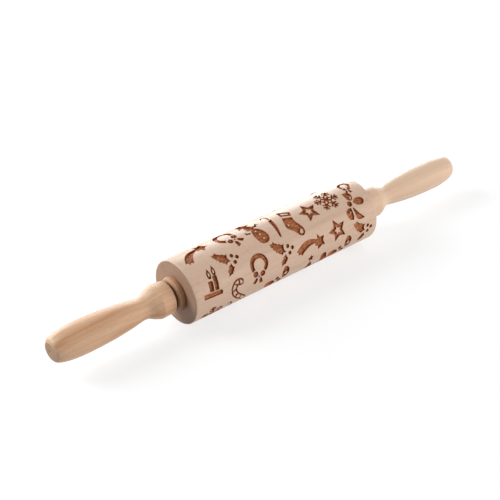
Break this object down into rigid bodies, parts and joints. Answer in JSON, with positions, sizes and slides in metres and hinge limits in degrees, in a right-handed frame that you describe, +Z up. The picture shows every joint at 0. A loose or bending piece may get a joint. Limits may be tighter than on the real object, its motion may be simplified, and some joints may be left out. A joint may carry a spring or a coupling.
{
  "type": "embossed rolling pin",
  "caption": "Beech rolling pin for printing dough: a barrel engraved with winter ornaments turns on a through axle between two turned handles.",
  "frame": {"origin": "on the worktop under the middle of the barrel: the barrel rests on Z = 0 and its axis is 22.5 mm above", "axes": "+X along the axle towards the right handle, +Z up"},
  "size_m": [0.35, 0.0448, 0.0448],
  "materials": {
    "barrel_beech": "fine-sanded raw beech, engraving burnt brown",
    "bushing_beech": "turned raw beech",
    "axle_beech": "smooth dowel",
    "handle_beech": "turned and smoothed beech"
  },
  "bodies": {
    "handles": {"axle": "axle_beech", "left_handle": "handle_beech", "right_handle": "handle_beech"},
    "barrel": {"barrel": "barrel_beech", "left_bushing": "bushing_beech", "right_bushing": "bushing_beech"}
  },
  "joints": [
    {"name": "barrel_spin", "type": "hinge", "parent": "handles", "child": "barrel", "pos_m": [0, 0, 0.0225], "axis": [1, 0, 0], "continuous": true}
  ]
}
